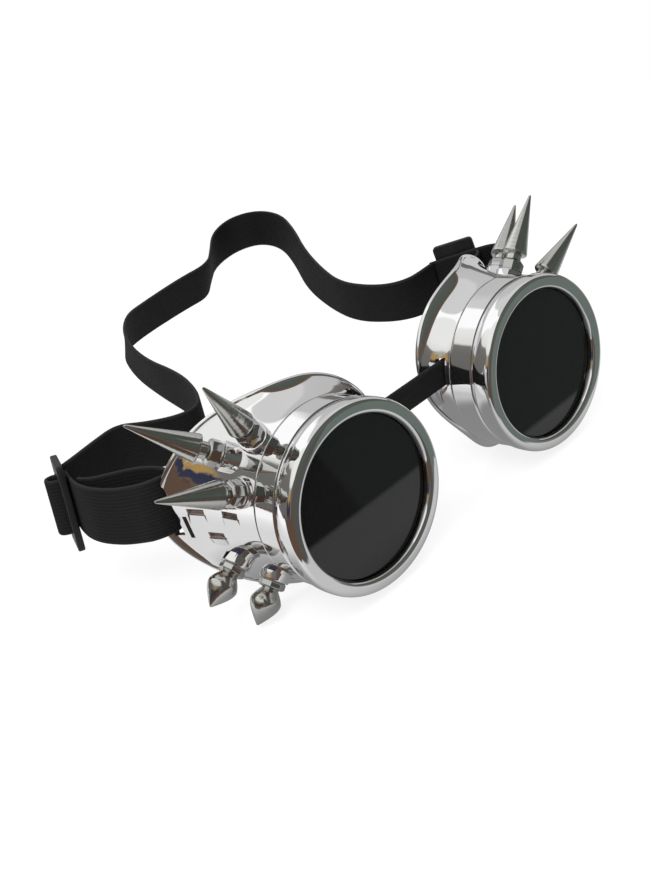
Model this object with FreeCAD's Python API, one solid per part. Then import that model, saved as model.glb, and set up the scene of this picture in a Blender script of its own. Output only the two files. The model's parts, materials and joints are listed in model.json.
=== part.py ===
import FreeCAD, Part
import math
import os

Vec = FreeCAD.Vector

# Sizes are in millimetres. Left and right are as seen from the front, and the front looks along -Y.
# Place of the two cup axes
LENS_SPACING = 87.4
AXIS_HEIGHT = 32.51
LENS_PLANE = -27.405

# Lens ring: rounded lip, groove and plain band, screwed on the cup's neck
LIP_RADIUS = 29.8
LIP_WIDTH = 4.8
OPENING_RADIUS = LIP_RADIUS - LIP_WIDTH
LIP_FRONT = 2.4
LIP_SEAT = 1.5
BAND_STEP = 0.6
BAND_RADIUS = LIP_RADIUS - BAND_STEP
GROOVE_RADIUS = BAND_RADIUS - 0.6
GROOVE_FRONT = 5.2
GROOVE_BACK = 5.9
RING_BACK = 15.2
RING_WALL = 1.95
THREAD_GAP = 0.3
RING_BORE = BAND_RADIUS - RING_WALL
NECK_RADIUS = RING_BORE - THREAD_GAP
NECK_WALL = 3.35

# Lens and gasket, stacked between the ring's lip and the neck
STACK_GAP = 0.05
LENS_RADIUS = RING_BORE - 0.25
LENS_THICKNESS = 2.2
GASKET_THICKNESS = 1.0
NECK_BORE = NECK_RADIUS - NECK_WALL
LENS_FRONT = LIP_SEAT + STACK_GAP
GASKET_FRONT = LENS_FRONT + LENS_THICKNESS + STACK_GAP
NECK_FRONT = GASKET_FRONT + GASKET_THICKNESS + STACK_GAP

# Eye cup shell behind the ring
WALL = 1.9
SHELL_FRONT = RING_BACK + 0.4
SHELL_RADIUS = BAND_RADIUS - 0.3
FLANGE = 1.6
BEAD = 1.1

# Rear rim stations every 30 degrees from the top towards the temple: radius and depth behind the lens
RIM_RADIUS = (34.6, 36.0, 39.0, 38.0, 35.5, 33.0, 32.5, 31.2, 30.2, 32.6, 34.6, 34.6)
RIM_DEPTH = (29.0, 41.0, 49.0, 56.5, 43.5, 32.0, 27.0, 22.5, 20.0, 24.5, 26.5, 27.0)
WALL_RUN = ((0.0, 0.0), (0.22, 0.04), (0.45, 0.16), (0.70, 0.46))

# Head strap of woven elastic and its slots in the temple side of the cups
STRAP_WIDTH = 20.0
STRAP_THICKNESS = 1.4
STRAP_HEIGHT = 5.0
SLOT_DEPTH = 51.0
SLOT_RISE = 3.0
SLOT_WIDTH = 3.4
CUT_REACH = 14.0
SLOT_PLAY = 1.0
SPARE_SLOT_DEPTH = 46.7
SPARE_SLOT_WIDTH = 1.6
SPARE_SLOT_TALL = 8.0
SPARE_SLOT_DROP = 8.0

# Nose strap, a plain flat band with a stop bar at each end inside the cups
NOSE_WIDTH = 9.0
NOSE_THICKNESS = 1.6
NOSE_HEIGHT = 8.6
NOSE_DEPTH = 18.8
NOSE_SWING_GAP = 0.8
NOSE_INSIDE = 5.7
NOSE_REACH = LENS_SPACING / 2 - SHELL_RADIUS + WALL + NOSE_INSIDE
STOP_RADIUS = 1.0
STOP_LENGTH = 11.0

# Spikes on faceted collars, each held by a screw from inside the cup
SEAT_PROUD = 2.0
BOSS_RADIUS = 4.8
BOSS_INSIDE = 5.6
COLLAR_RADIUS = 4.3
COLLAR_HEIGHT = 4.6
NECK_HEIGHT = 2.4
SPIKE_RADIUS = 4.4
SPIKE_LENGTH = 29.6
SPIKE_TIP = 0.45
SHORT_COLLAR = 2.6
SHORT_NECK = 1.0
SHORT_SHOULDER = 7.0
SHORT_RADIUS = 4.9
SHORT_LENGTH = 14.2
SCREW_RADIUS = 1.4
SCREW_REACH = 11.6
SHORT_SCREW_REACH = 6.6
SCREW_HEAD_RADIUS = 2.6
SCREW_HEAD = 1.6
SCREW_FIT = 0.08
HOLE_CLEARANCE = 0.25

# Each spike: angle from the top towards the temple, depth behind the lens, backward lean in degrees
LONG_SPIKES = {
    "left": ((30.9, 21.0, -18.0), (45.5, 29.7, 21.0), (62.8, 20.4, -5.5)),
    "right": ((46.0, 26.0, 2.5), (55.4, 36.5, 12.0), (62.8, 20.4, -5.5)),
}
SHORT_SPIKES = ((115.0, 35.0, -3.0), (131.0, 26.0, 0.0))

# Hooded vents in the temple side: angle, depth
VENTS = ((84.0, 41.6), (83.5, 27.4), (98.8, 36.4))
VENT_LENGTH = 6.8
VENT_PROUD = 1.5
VENT_DROP = 5.8

# Strap sliders: three bars and two windows
SLIDER_HEIGHT = 31.0
SLIDER_LENGTH = 17.0
SLIDER_THICKNESS = 2.4
SLIDER_BAR = 2.6
SLIDER_WINDOW = 20.8
SLIDER_SIDE_GAP = 0.3
LOOP_START = 9.6
HEAD_START = 10.5
TURN_PROUD = 5.6

# Plan places of the sliders and of the strap, as x and depth behind the lens
LEFT_SLIDER = ((-88.9, 101.6), (0.34, 0.94))
RIGHT_SLIDER = ((100.0, 82.5), (-0.54, 0.84))
LEFT_LEAN = 8.5
LEFT_PITCH = -3.3
LEFT_SLOPE = 0.165
RIGHT_LEAN = 0.0
RIGHT_PITCH = -4.8
RIGHT_SLOPE = 0.165
LAP = SLIDER_THICKNESS / 2 + SLIDER_SIDE_GAP + STRAP_THICKNESS / 2


def rim_at(angle, values):
    step = (angle % 360.0) / 30.0
    low = int(step)
    part = step - low
    ease = part * part * (3.0 - 2.0 * part)
    return values[low % 12] * (1.0 - ease) + values[(low + 1) % 12] * ease


def wall_radius(angle, depth):
    # Outer radius of the cup wall at an angle and depth, from the same stations as the shell
    part = (depth - SHELL_FRONT) / (rim_at(angle, RIM_DEPTH) - SHELL_FRONT)
    swell = rim_at(angle, RIM_RADIUS) - SHELL_RADIUS
    runs = WALL_RUN + ((1.0, 1.0),)
    for (a, low), (b, high) in zip(runs[:-1], runs[1:]):
        if part <= b:
            return SHELL_RADIUS + swell * (low + (high - low) * max(0.0, part - a) / (b - a))
    return SHELL_RADIUS + swell


def on_cup(side, angle, radius, depth):
    turn = math.radians(angle)
    x = LENS_SPACING / 2 + radius * math.sin(turn)
    return Vec(side * x, LENS_PLANE + depth, AXIS_HEIGHT + radius * math.cos(turn))


def plan(point, height=0.0):
    return Vec(point[0], LENS_PLANE + point[1], AXIS_HEIGHT + height)


def revolve(side, outline):
    # Turns a closed outline of (radius, depth) points or three-point arcs about the cup's axis
    edges = []
    for piece in outline:
        pts = [Vec(side * LENS_SPACING / 2 + r, LENS_PLANE + d, AXIS_HEIGHT) for r, d in piece]
        if len(pts) == 3:
            edges.append(Part.Arc(pts[0], pts[1], pts[2]).toShape())
        else:
            edges.append(Part.makeLine(pts[0], pts[1]))
    face = Part.Face(Part.Wire(edges))
    axis = Vec(side * LENS_SPACING / 2, LENS_PLANE, AXIS_HEIGHT)
    return face.revolve(axis, Vec(0, 1, 0), 360)


def lines(points):
    return [(points[i], points[(i + 1) % len(points)]) for i in range(len(points))]


def tube(side, inner, outer, front, back):
    return revolve(side, lines([(inner, front), (outer, front), (outer, back), (inner, back)]))


def tilted_box(corner, along, up, out, length, height, depth):
    # Box from its middle, with its length along one direction, height along another, depth along the third
    base = corner - along * (length / 2) - up * (height / 2) - out * (depth / 2)
    a = base + along * length
    b = a + up * height
    c = base + up * height
    face = Part.Face(Part.makePolygon([base, a, b, c, base]))
    return face.extrude(out * depth)


def ribbon(points, thickness, low, high):
    # Flat band on edge: straight runs joined by tangent arcs, cut as a closed outline and raised
    pts = [Vec(p[0], LENS_PLANE + p[1], AXIS_HEIGHT + low) for p in points]
    runs = []
    here = pts[0]
    radii = []
    for i in range(1, len(pts) - 1):
        u = (pts[i] - pts[i - 1])
        v = (pts[i + 1] - pts[i])
        reach = 0.45 * min(u.Length, v.Length)
        u.normalize()
        v.normalize()
        turn = u.getAngle(v)
        radius = reach / math.tan(turn / 2)
        side = 1.0 if u.cross(v).z > 0 else -1.0
        start = pts[i] - u * reach
        stop = pts[i] + v * reach
        centre = start + Vec(-u.y, u.x, 0) * (side * radius)
        out = pts[i] - centre
        out.normalize()
        runs.append(("line", here, start, u))
        runs.append(("arc", start, stop, centre, out, radius, side, u, v))
        radii.append(radius)
        here = stop
    last = pts[-1] - here
    last.normalize()
    runs.append(("line", here, pts[-1], last))

    def offset(shift):
        edges = []
        for run in runs:
            if run[0] == "line":
                move = Vec(-run[3].y, run[3].x, 0) * shift
                edges.append((run[1] + move, run[2] + move))
            else:
                start = run[1] + Vec(-run[7].y, run[7].x, 0) * shift
                stop = run[2] + Vec(-run[8].y, run[8].x, 0) * shift
                middle = run[3] + run[4] * (run[5] - run[6] * shift)
                edges.append((start, middle, stop))
        return edges

    near = offset(thickness / 2)
    far = [tuple(reversed(e)) for e in reversed(offset(-thickness / 2))]
    loop = near + [(near[-1][-1], far[0][0])] + far + [(far[-1][-1], near[0][0])]
    edges = []
    for e in loop:
        edges.append(Part.makeLine(e[0], e[1]) if len(e) == 2 else Part.Arc(e[0], e[1], e[2]).toShape())
    face = Part.Face(Part.Wire(edges))
    length = 0.0
    for run in runs:
        if run[0] == "line":
            length += (run[2] - run[1]).Length
        else:
            length += run[5] * run[7].getAngle(run[8])
    solid = face.extrude(Vec(0, 0, high - low))
    share = solid.Volume / (thickness * (high - low) * length)
    print("band length %.1f, smallest bend %.2f, volume share %.4f" % (length, min(radii), share))
    return solid


def make_ring(side):
    lip_middle = (OPENING_RADIUS + LIP_RADIUS) / 2
    outline = [
        ((OPENING_RADIUS, 0.0), (lip_middle, -LIP_FRONT), (LIP_RADIUS, 0.0)),
        ((LIP_RADIUS, 0.0), (LIP_RADIUS, 1.6)),
        ((LIP_RADIUS, 1.6), (LIP_RADIUS - 0.25, 3.6), (BAND_RADIUS - 0.1, GROOVE_FRONT - 0.2)),
        ((BAND_RADIUS - 0.1, GROOVE_FRONT - 0.2), (GROOVE_RADIUS, GROOVE_FRONT)),
        ((GROOVE_RADIUS, GROOVE_FRONT), (GROOVE_RADIUS, GROOVE_BACK)),
        ((GROOVE_RADIUS, GROOVE_BACK), (BAND_RADIUS, GROOVE_BACK + 0.4)),
        ((BAND_RADIUS, GROOVE_BACK + 0.4), (BAND_RADIUS, RING_BACK - 0.5)),
        ((BAND_RADIUS, RING_BACK - 0.5), (BAND_RADIUS - 0.5, RING_BACK)),
        ((BAND_RADIUS - 0.5, RING_BACK), (RING_BORE, RING_BACK)),
        ((RING_BORE, RING_BACK), (RING_BORE, LIP_SEAT)),
        ((RING_BORE, LIP_SEAT), (OPENING_RADIUS, LIP_SEAT)),
        ((OPENING_RADIUS, LIP_SEAT), (OPENING_RADIUS, 0.0)),
    ]
    return revolve(side, outline)


def make_lens(side):
    back = LENS_FRONT + LENS_THICKNESS
    edge = 0.4
    axis = 0.0
    outline = [(axis, LENS_FRONT), (LENS_RADIUS - edge, LENS_FRONT), (LENS_RADIUS, LENS_FRONT + edge)]
    outline += [(LENS_RADIUS, back - edge), (LENS_RADIUS - edge, back), (axis, back)]
    return revolve(side, lines(outline))


def make_gasket(side):
    return tube(side, NECK_BORE, LENS_RADIUS - 0.1, GASKET_FRONT, GASKET_FRONT + GASKET_THICKNESS)


def make_shell(side):
    # Closed curves round the cup: up the outside, over the rolled rim and back down the inside
    outer = []
    inner = []
    for run, swell in WALL_RUN:
        outer.append([])
        inner.append([])
        for i in range(12):
            depth = SHELL_FRONT + run * (RIM_DEPTH[i] - SHELL_FRONT)
            radius = SHELL_RADIUS + swell * (RIM_RADIUS[i] - SHELL_RADIUS)
            outer[-1].append((i, radius, depth))
            inner[-1].append((i, radius - WALL, depth))
    rim = [[], [], []]
    for i in range(12):
        rim[0].append((i, RIM_RADIUS[i], RIM_DEPTH[i] - BEAD))
        rim[1].append((i, RIM_RADIUS[i] - BEAD, RIM_DEPTH[i]))
        rim[2].append((i, RIM_RADIUS[i] - 2 * BEAD, RIM_DEPTH[i] - BEAD))
    wires = []
    for ring in outer + rim + inner[::-1]:
        curve = Part.BSplineCurve()
        curve.interpolate([on_cup(side, 30.0 * i, r, d) for i, r, d in ring], PeriodicFlag=True)
        wires.append(Part.Wire([curve.toShape()]))
    faces = [Part.makeFace([wires[0], wires[-1]], "Part::FaceMakerBullseye")]
    for first, last in ((0, 4), (4, 6), (6, 10)):
        faces += Part.makeLoft(wires[first:last + 1], False, False, False).Faces
    shell = Part.makeShell(faces)
    shell.sewShape()
    solid = Part.makeSolid(shell)
    if solid.Volume < 0:
        solid.reverse()
    return solid


def spike_axis(side, angle, depth, lean):
    # Seat centre and direction of a spike
    seat = on_cup(side, angle, wall_radius(angle, depth) + SEAT_PROUD, depth)
    turn = math.radians(angle)
    tip = math.radians(lean)
    way = Vec(side * math.sin(turn) * math.cos(tip), math.sin(tip), math.cos(turn) * math.cos(tip))
    return seat, way


def turned(seat, way, outline):
    # Body of revolution about a spike's axis, from (height, radius) points
    pts = [Vec(r, 0, h) for h, r in outline]
    face = Part.Face(Part.makePolygon(pts + [pts[0]]))
    body = face.revolve(Vec(0, 0, 0), Vec(0, 0, 1), 360)
    body.Placement = FreeCAD.Placement(seat, FreeCAD.Rotation(Vec(0, 0, 1), way))
    return body


def all_spikes(side):
    name = "left" if side < 0 else "right"
    return [s + (False,) for s in LONG_SPIKES[name]] + [s + (True,) for s in SHORT_SPIKES]


def make_spike(side, angle, depth, lean, short):
    seat, way = spike_axis(side, angle, depth, lean)
    hole = SCREW_RADIUS + SCREW_FIT
    if short:
        foot = SHORT_COLLAR
        bottom = SHORT_COLLAR + SHORT_NECK
        outline = [(foot, hole), (foot, 2.7), (bottom, 3.2), (SHORT_SHOULDER - 2.4, SHORT_RADIUS - 1.0)]
        outline += [(SHORT_SHOULDER - 1.2, SHORT_RADIUS - 0.35), (SHORT_SHOULDER, SHORT_RADIUS)]
        outline += [(SHORT_SHOULDER + 1.4, SHORT_RADIUS - 0.3), (SHORT_SHOULDER + 3.0, SHORT_RADIUS - 1.3)]
        outline += [(SHORT_SHOULDER + 5.0, SHORT_RADIUS - 2.6), (SHORT_LENGTH, SPIKE_TIP)]
        outline += [(SHORT_LENGTH + 0.2, 0.0), (SHORT_SCREW_REACH + 1.0, 0.0)]
        outline += [(SHORT_SCREW_REACH + 0.4, hole)]
    else:
        foot = COLLAR_HEIGHT
        bottom = COLLAR_HEIGHT + NECK_HEIGHT
        outline = [(foot, hole), (foot, 2.7), (bottom, 2.7), (bottom, SPIKE_RADIUS - 0.5)]
        outline += [(bottom + 0.4, SPIKE_RADIUS), (bottom + 1.0, SPIKE_RADIUS)]
        outline += [(SPIKE_LENGTH, SPIKE_TIP), (SPIKE_LENGTH + 0.25, 0.0)]
        outline += [(SCREW_REACH + 1.2, 0.0), (SCREW_REACH + 0.6, hole)]
    return turned(seat, way, outline)


def make_collar(side, angle, depth, lean, short):
    # Eight-sided collar with chamfered ends and a clearance bore
    seat, way = spike_axis(side, angle, depth, lean)
    height = SHORT_COLLAR if short else COLLAR_HEIGHT
    pts = []
    for i in range(9):
        a = 2 * math.pi * (i + 0.5) / 8
        pts.append(Vec(COLLAR_RADIUS * math.cos(a), COLLAR_RADIUS * math.sin(a), 0))
    prism = Part.Face(Part.makePolygon(pts)).extrude(Vec(0, 0, height))
    round_off = COLLAR_RADIUS - 0.55
    barrel = [(0.0, 0.0), (0.0, round_off), (0.7, COLLAR_RADIUS), (height - 0.9, COLLAR_RADIUS)]
    barrel += [(height, round_off - 0.4), (height, 0.0)]
    body = prism.common(turned(Vec(0, 0, 0), Vec(0, 0, 1), barrel))
    body = body.cut(Part.makeCylinder(SCREW_RADIUS + HOLE_CLEARANCE, height + 2, Vec(0, 0, -1)))
    body.Placement = FreeCAD.Placement(seat, FreeCAD.Rotation(Vec(0, 0, 1), way))
    return body


def make_screw(side, angle, depth, lean, short):
    seat, way = spike_axis(side, angle, depth, lean)
    under = -BOSS_INSIDE
    tip = SHORT_SCREW_REACH if short else SCREW_REACH
    r = SCREW_RADIUS
    crown = under - SCREW_HEAD
    outline = [(crown, 0.0), (crown, 1.9), (crown + 0.7, SCREW_HEAD_RADIUS)]
    outline += [(under, SCREW_HEAD_RADIUS), (under, r), (tip - 0.5, r), (tip, r - 0.5), (tip, 0.0)]
    body = turned(seat, way, outline)
    slot = Part.makeBox(6, 0.8, 0.7, Vec(-3, -0.4, crown - 0.1))
    slot.Placement = FreeCAD.Placement(seat, FreeCAD.Rotation(Vec(0, 0, 1), way))
    return body.cut(slot)


def make_cup(side):
    cup = make_shell(side)
    cup = cup.fuse(tube(side, NECK_BORE, SHELL_RADIUS - 0.7, SHELL_FRONT, SHELL_FRONT + FLANGE))
    cup = cup.fuse(tube(side, NECK_BORE, NECK_RADIUS, NECK_FRONT, SHELL_FRONT + 0.5))
    holes = []
    for angle, depth, lean, short in all_spikes(side):
        seat, way = spike_axis(side, angle, depth, lean)
        boss = Part.makeCylinder(BOSS_RADIUS, BOSS_INSIDE, seat - way * BOSS_INSIDE, way)
        cup = cup.fuse(boss)
        bore = SCREW_RADIUS + HOLE_CLEARANCE
        holes.append(Part.makeCylinder(bore, BOSS_INSIDE + 4, seat - way * (BOSS_INSIDE + 2), way))
        holes.append(Part.makeCylinder(COLLAR_RADIUS + 0.25, 2.6, seat, way))
        under = seat - way * (BOSS_INSIDE + 2.4)
        holes.append(Part.makeCylinder(SCREW_HEAD_RADIUS + 0.4, 2.4, under, way))
    for angle, depth in VENTS:
        middle = on_cup(side, angle, wall_radius(angle, depth), depth)
        out = on_cup(side, angle, 1.0, 0.0) - on_cup(side, angle, 0.0, 0.0)
        down = on_cup(side, angle + 90.0, 1.0, 0.0) - on_cup(side, angle + 90.0, 0.0, 0.0)
        back = Vec(0, 1, 0)
        top = middle - down * (VENT_DROP * 0.45) - back * (VENT_LENGTH / 2)
        low = top + down * VENT_DROP
        inside = top - out * 1.5
        hood = [inside, top + out * VENT_PROUD, low - out * 0.1, low - out * 1.5, inside]
        cup = cup.fuse(Part.Face(Part.makePolygon(hood)).extrude(back * VENT_LENGTH))
        mouth = top + down * 0.9 + back * (VENT_LENGTH / 2) - out * 1.6
        holes.append(tilted_box(mouth, back, down, out, VENT_LENGTH - 1.4, 2.4, 5.0))
    x = side * (LENS_SPACING / 2 + RIM_RADIUS[3] - 4.0)
    slot_height = STRAP_HEIGHT + SLOT_RISE
    tall = STRAP_WIDTH + 2 * SLOT_PLAY
    slots = ((SLOT_DEPTH, SLOT_WIDTH, slot_height, tall),)
    slots += ((SPARE_SLOT_DEPTH, SPARE_SLOT_WIDTH, slot_height - SPARE_SLOT_DROP, SPARE_SLOT_TALL),)
    for depth, width, height, tall in slots:
        middle = Vec(x, LENS_PLANE + depth, AXIS_HEIGHT + height)
        holes.append(tilted_box(middle, Vec(1, 0, 0), Vec(0, 1, 0), Vec(0, 0, 1), CUT_REACH, width, tall))
    wall_x = LENS_SPACING / 2 - SHELL_RADIUS + 0.7
    nose = Vec(side * wall_x, LENS_PLANE + NOSE_DEPTH, AXIS_HEIGHT + NOSE_HEIGHT)
    gap = NOSE_THICKNESS + 2 * NOSE_SWING_GAP
    tall = NOSE_WIDTH + NOSE_SWING_GAP
    holes.append(tilted_box(nose, Vec(1, 0, 0), Vec(0, 1, 0), Vec(0, 0, 1), CUT_REACH, gap, tall))
    return cup.cut(Part.makeCompound(holes)).removeSplitter()


def make_slider(place, way):
    # Flat frame with two windows, its length along the strap
    along = Vec(way[0], way[1], 0)
    along.normalize()
    out = Vec(-along.y, along.x, 0)
    up = Vec(0, 0, 1)
    middle = plan(place, STRAP_HEIGHT)
    plate = tilted_box(middle, along, up, out, SLIDER_LENGTH, SLIDER_HEIGHT, SLIDER_THICKNESS)
    corners = [e for e in plate.Edges if abs(e.tangentAt(e.FirstParameter).dot(out)) > 0.99]
    plate = plate.makeFillet(1.6, corners)
    opening = (SLIDER_LENGTH - 3 * SLIDER_BAR) / 2
    shift = (opening + SLIDER_BAR) / 2
    for s in (-1, 1):
        window = tilted_box(middle + along * (s * shift), along, up, out, opening, SLIDER_WINDOW, 6.0)
        plate = plate.cut(window)
    return plate


def settle(shape, slider, lean, pitch):
    # Leans a slider and its strap across the strap, then lifts their cup end
    x, d, ax, ay = slider_frame(slider)
    middle = plan((x, d), STRAP_HEIGHT)
    moved = shape.copy()
    moved.rotate(middle, Vec(ax, ay, 0), lean)
    moved.rotate(middle, Vec(ay, -ax, 0), pitch)
    return moved


def raise_loop(shape, slider, lean, slope):
    # Leans a strap loop with its slider and lets it climb steadily towards the cup, edges staying upright
    x, d, ax, ay = slider_frame(slider)
    middle = plan((x, d), STRAP_HEIGHT)
    moved = shape.copy()
    moved.rotate(middle, Vec(ax, ay, 0), lean)
    climb = FreeCAD.Matrix()
    climb.A31 = -ax * slope
    climb.A32 = -ay * slope
    climb.A34 = (middle.x * ax + middle.y * ay) * slope
    return moved.transformGeometry(climb)


def slider_frame(slider):
    (x, d), way = slider
    size = math.hypot(way[0], way[1])
    return x, d, way[0] / size, way[1] / size


def beside_slider(slider, along, across):
    # Plan point measured along the slider and across it, positive away from the head
    x, d, ax, ay = slider_frame(slider)
    sign = -1.0 if x < 0 else 1.0
    ox, oy = sign * abs(ay), sign * abs(ax)
    if ax * ay > 0:
        oy = -oy
    return (x + ax * along + ox * across, d + ay * along + oy * across)


def make_turn(slider):
    # Stretch of strap that passes out over the slider's middle bar
    low = -STRAP_WIDTH / 2
    top = TURN_PROUD - STRAP_THICKNESS / 2
    points = ((-3.2, -0.8), (-3.5, 2.8), (-1.7, top), (1.7, top), (3.5, 2.8), (3.2, -0.8))
    route = [beside_slider(slider, a, n) for a, n in points]
    return ribbon(route, STRAP_THICKNESS, STRAP_HEIGHT + low, STRAP_HEIGHT - low)


# Strap routes in plan, from the sliders. The loops go out to a temple slot, round the rim and back.
LEFT_LOOP = [
    beside_slider(LEFT_SLIDER, LOOP_START, -LAP),
    beside_slider(LEFT_SLIDER, -LOOP_START, -LAP),
    (-92.2, 77.0),
    (-88.8, 67.6),
    (-85.8, 60.0),
    (-84.2, SLOT_DEPTH),
    (-74.2, SLOT_DEPTH),
    (-73.9, 59.5),
    (-76.5, 68.5),
    (-82.0, 77.5),
    (-87.4, 84.5),
    (-87.6, 91.0),
]
RIGHT_LOOP = [
    beside_slider(RIGHT_SLIDER, LOOP_START, -LAP),
    beside_slider(RIGHT_SLIDER, -LOOP_START, -LAP),
    (104.4, 62.0),
    (96.5, 54.4),
    (87.0, SLOT_DEPTH + 0.5),
    (74.2, SLOT_DEPTH),
    (73.9, 58.0),
    (79.0, 63.4),
    (88.5, 66.4),
    (98.0, 68.6),
    (101.2, 72.6),
]
HEAD_STRAP = [
    beside_slider(LEFT_SLIDER, HEAD_START, -LAP),
    (-80.0, 112.6),
    (-72.0, 115.0),
    (-61.0, 113.5),
    (-50.0, 104.0),
    (-41.0, 93.0),
    (-32.5, 93.0),
    (-25.0, 105.0),
    (-17.5, 127.0),
    (-9.0, 160.0),
    (1.0, 197.0),
    (14.0, 228.0),
    (40.0, 246.0),
    (72.0, 253.0),
    (90.0, 256.0),
    (108.0, 276.0),
    (128.0, 302.0),
    (150.0, 311.0),
    (162.0, 298.0),
    (154.0, 268.0),
    (132.0, 231.0),
    (106.0, 190.0),
    (83.0, 152.0),
    (71.5, 124.0),
    (70.0, 103.0),
    (77.5, 92.0),
    (87.5, 90.8),
    beside_slider(RIGHT_SLIDER, HEAD_START, -LAP),
]


os.makedirs("parts", exist_ok=True)
low = STRAP_HEIGHT - STRAP_WIDTH / 2
high = STRAP_HEIGHT + STRAP_WIDTH / 2
made = {}
for name, side in (("left", -1), ("right", 1)):
    made[name + "_eye_cup"] = make_cup(side)
    made[name + "_lens_ring"] = make_ring(side)
    made[name + "_dark_lens"] = make_lens(side)
    made[name + "_lens_gasket"] = make_gasket(side)
    spikes = all_spikes(side)
    for number, spike in enumerate(spikes):
        kind = "_short_spike_%d" % (number - 2) if spike[3] else "_long_spike_%d" % (number + 1)
        made[name + kind] = make_spike(side, *spike)
    made[name + "_spike_collars"] = Part.makeCompound([make_collar(side, *s) for s in spikes])
    made[name + "_spike_screws"] = Part.makeCompound([make_screw(side, *s) for s in spikes])
    stop_place = (side * (NOSE_REACH + STOP_RADIUS + STACK_GAP), NOSE_DEPTH)
    stop_foot = plan(stop_place, NOSE_HEIGHT - STOP_LENGTH / 2)
    made[name + "_nose_stop"] = Part.makeCylinder(STOP_RADIUS, STOP_LENGTH, stop_foot)
nose_middle = plan((0.0, NOSE_DEPTH), NOSE_HEIGHT)
across, back, up = Vec(1, 0, 0), Vec(0, 1, 0), Vec(0, 0, 1)
nose_length = 2 * NOSE_REACH
made["nose_strap"] = tilted_box(nose_middle, across, back, up, nose_length, NOSE_THICKNESS, NOSE_WIDTH)
for name, slider, loop, lean, pitch, slope in (
    ("left", LEFT_SLIDER, LEFT_LOOP, LEFT_LEAN, LEFT_PITCH, LEFT_SLOPE),
    ("right", RIGHT_SLIDER, RIGHT_LOOP, RIGHT_LEAN, RIGHT_PITCH, RIGHT_SLOPE),
):
    made[name + "_slider"] = settle(make_slider(*slider), slider, lean, pitch)
    made[name + "_strap_turn"] = settle(make_turn(slider), slider, lean, pitch)
    made[name + "_strap_loop"] = raise_loop(ribbon(loop, STRAP_THICKNESS, low, high), slider, lean, slope)
made["head_strap"] = ribbon(HEAD_STRAP, STRAP_THICKNESS, low, high)

for name, shape in made.items():
    box = shape.optimalBoundingBox()
    print(name, "valid", shape.isValid(), "solids", len(shape.Solids), "volume %.1f" % shape.Volume)
    print("  x %.2f %.2f y %.2f %.2f" % (box.XMin, box.XMax, box.YMin, box.YMax))
    print("  z %.2f %.2f" % (box.ZMin, box.ZMax))
    shape.exportStep("parts/" + name + ".step")
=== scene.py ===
import json
import math

import bmesh
import bpy
from mathutils import Matrix, Vector

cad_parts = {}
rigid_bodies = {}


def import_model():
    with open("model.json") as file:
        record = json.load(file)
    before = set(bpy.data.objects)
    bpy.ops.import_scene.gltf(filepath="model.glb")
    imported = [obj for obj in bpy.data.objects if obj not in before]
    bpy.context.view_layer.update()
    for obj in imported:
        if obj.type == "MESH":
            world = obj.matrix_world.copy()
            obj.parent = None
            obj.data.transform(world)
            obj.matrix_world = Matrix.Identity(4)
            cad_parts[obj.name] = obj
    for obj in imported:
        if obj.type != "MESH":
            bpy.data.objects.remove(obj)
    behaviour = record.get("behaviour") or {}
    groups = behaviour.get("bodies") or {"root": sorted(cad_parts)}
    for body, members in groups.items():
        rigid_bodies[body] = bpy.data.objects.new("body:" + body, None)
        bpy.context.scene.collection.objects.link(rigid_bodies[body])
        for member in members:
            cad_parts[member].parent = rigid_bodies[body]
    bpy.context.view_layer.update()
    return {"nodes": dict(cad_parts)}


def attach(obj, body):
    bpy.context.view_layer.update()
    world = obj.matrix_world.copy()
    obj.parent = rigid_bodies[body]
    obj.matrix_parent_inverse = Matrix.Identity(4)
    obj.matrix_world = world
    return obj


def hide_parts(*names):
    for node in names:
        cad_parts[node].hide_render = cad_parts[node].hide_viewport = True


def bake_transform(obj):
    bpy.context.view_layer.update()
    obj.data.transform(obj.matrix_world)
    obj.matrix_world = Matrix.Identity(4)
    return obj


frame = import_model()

# Camera: in front of the goggles, to their left and above them, where the photograph was taken.
# Its place, turn and lens were worked out from the two round openings, as equal circles in one plane.


def in_scene(name, data):
    # New object at the origin of the scene
    item = bpy.data.objects.new(name, data)
    bpy.context.scene.collection.objects.link(item)
    return item


camera = in_scene("camera", bpy.data.cameras.new("camera"))
camera.data.lens = 45.702
camera.data.sensor_width = 36.0
camera.data.sensor_fit = "AUTO"
camera.data.clip_start = 0.01
camera.matrix_world = Matrix((
    (0.70201107, 0.48417723, -0.52225747, -0.212168),
    (-0.64639211, 0.12537958, -0.75263352, -0.261459),
    (-0.29892759, 0.86594017, 0.40098619, 0.181630),
    (0.0, 0.0, 0.0, 1.0),
))
bpy.context.scene.camera = camera

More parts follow.
